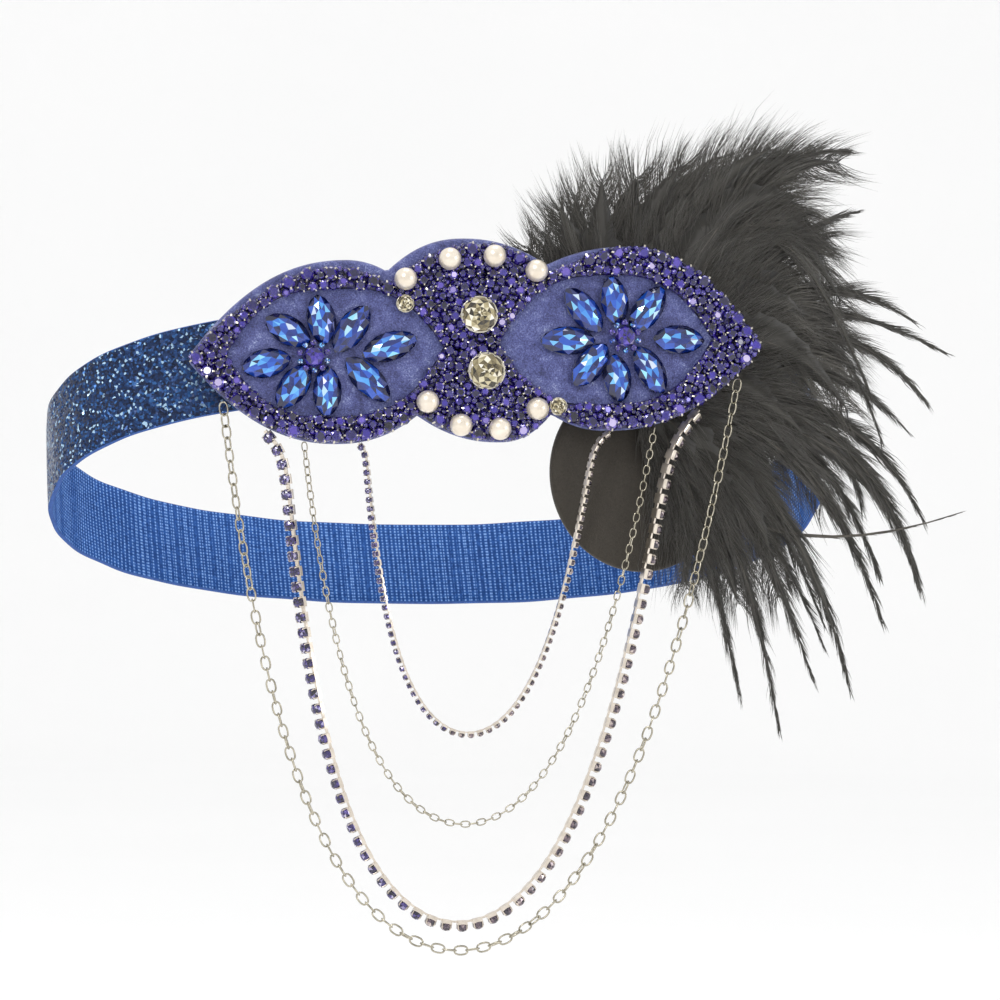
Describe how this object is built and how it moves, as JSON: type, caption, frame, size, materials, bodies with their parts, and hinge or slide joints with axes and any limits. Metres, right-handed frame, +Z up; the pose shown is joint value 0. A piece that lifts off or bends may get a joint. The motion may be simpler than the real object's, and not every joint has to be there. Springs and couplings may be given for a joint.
{
  "type": "flapper feather headband",
  "caption": "Elastic headband with a beaded satin applique in front, a dark feather plume at its side and swags of chain hanging below.",
  "frame": {"origin": "middle of the head inside the elastic loop, where the head goes in", "axes": "+Z up along the head, the face looks along -Y, +X to the right as seen from the front"},
  "size_m": [0.2403, 0.1066, 0.2275],
  "materials": {
    "glitter_elastic": "blue glitter outside, knitted blue inside",
    "satin": "stiffened satin, soft sheen",
    "sapphire_glass": "faceted, polished, mirror backed",
    "violet_glass": "faceted, polished, in metal cups",
    "clear_glass": "faceted, polished, foil backed",
    "pearl": "lustrous pearl coat",
    "feather": "dyed black feather, soft",
    "felt": "matt dark felt",
    "silver_metal": "plated, polished"
  },
  "bodies": {
    "root": {"elastic_band": "glitter_elastic", "applique_base": "satin", "petal_left_1": "sapphire_glass", "petal_left_2": "sapphire_glass", "petal_left_3": "sapphire_glass", "petal_left_4": "sapphire_glass", "petal_left_5": "sapphire_glass", "petal_left_6": "sapphire_glass", "petal_left_7": "sapphire_glass", "petal_left_8": "sapphire_glass", "petal_right_1": "sapphire_glass", "petal_right_2": "sapphire_glass", "petal_right_3": "sapphire_glass", "petal_right_4": "sapphire_glass", "petal_right_5": "sapphire_glass", "petal_right_6": "sapphire_glass", "petal_right_7": "sapphire_glass", "petal_right_8": "sapphire_glass", "flower_centre_left": "violet_glass", "flower_centre_right": "violet_glass", "chaton_upper": "clear_glass", "chaton_lower": "clear_glass", "pearl_1": "pearl", "pearl_2": "pearl", "pearl_3": "pearl", "pearl_4": "pearl", "pearl_5": "pearl", "pearl_6": "pearl", "pearl_7": "pearl", "pearl_8": "pearl", "crystal_left": "clear_glass", "crystal_right": "clear_glass", "stones_left": "violet_glass", "stones_centre": "violet_glass", "stones_right": "violet_glass", "feather_plume": "feather", "felt_pad": "felt", "chain_outer_cable": "silver_metal", "chain_outer_cup": "silver_metal", "chain_inner_cable": "silver_metal", "chain_inner_cup": "silver_metal"}
  },
  "joints": []
}
